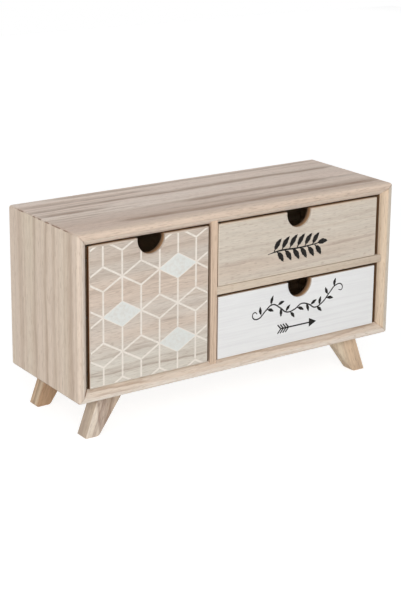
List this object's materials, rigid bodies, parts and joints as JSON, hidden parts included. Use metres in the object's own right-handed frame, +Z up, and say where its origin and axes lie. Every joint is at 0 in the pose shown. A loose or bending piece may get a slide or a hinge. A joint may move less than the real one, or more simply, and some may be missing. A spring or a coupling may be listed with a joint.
{
  "type": "mini drawer chest",
  "caption": "Small wooden drawer chest: mitred case with bevelled mouth on splayed legs, a tall drawer beside stacked low drawers, each pulled by a round finger notch.",
  "frame": {"origin": "on the floor under the middle of the case", "axes": "+X to the right along the long side, +Z up, and the drawers face -Y"},
  "size_m": [0.32, 0.1132, 0.1734],
  "materials": {
    "case_wood": "sanded bare paulownia",
    "leg_wood": "sanded bare paulownia",
    "back_plywood": "thin bare plywood",
    "patterned_front_wood": "bare wood with white printed lattice",
    "plain_front_wood": "bare wood with dark printed ornament",
    "white_painted_wood": "thin white paint with dark printed ornament",
    "drawer_box_wood": "sanded bare wood",
    "drawer_plywood": "thin bare plywood",
    "steel_fixings": "plain steel"
  },
  "bodies": {
    "case": {"left_side_panel": "case_wood", "right_side_panel": "case_wood", "top_panel": "case_wood", "bottom_panel": "case_wood", "divider": "case_wood", "shelf": "case_wood", "back_panel": "back_plywood", "back_panel_brads": "steel_fixings", "front_left_leg": "leg_wood", "front_right_leg": "leg_wood", "back_left_leg": "leg_wood", "back_right_leg": "leg_wood", "leg_screws": "steel_fixings"},
    "left_drawer": {"left_drawer_front": "patterned_front_wood", "left_drawer_left_side": "drawer_box_wood", "left_drawer_right_side": "drawer_box_wood", "left_drawer_back": "drawer_box_wood", "left_drawer_bottom": "drawer_plywood", "left_drawer_brads": "steel_fixings"},
    "upper_drawer": {"upper_drawer_front": "plain_front_wood", "upper_drawer_left_side": "drawer_box_wood", "upper_drawer_right_side": "drawer_box_wood", "upper_drawer_back": "drawer_box_wood", "upper_drawer_bottom": "drawer_plywood", "upper_drawer_brads": "steel_fixings"},
    "lower_drawer": {"lower_drawer_front": "white_painted_wood", "lower_drawer_left_side": "drawer_box_wood", "lower_drawer_right_side": "drawer_box_wood", "lower_drawer_back": "drawer_box_wood", "lower_drawer_bottom": "drawer_plywood", "lower_drawer_brads": "steel_fixings"}
  },
  "joints": [
    {"name": "left_drawer_slide", "type": "slide", "parent": "case", "child": "left_drawer", "axis": [0, -1, 0], "range_m": [0, 0.09]},
    {"name": "upper_drawer_slide", "type": "slide", "parent": "case", "child": "upper_drawer", "axis": [0, -1, 0], "range_m": [0, 0.09]},
    {"name": "lower_drawer_slide", "type": "slide", "parent": "case", "child": "lower_drawer", "axis": [0, -1, 0], "range_m": [0, 0.09]}
  ]
}
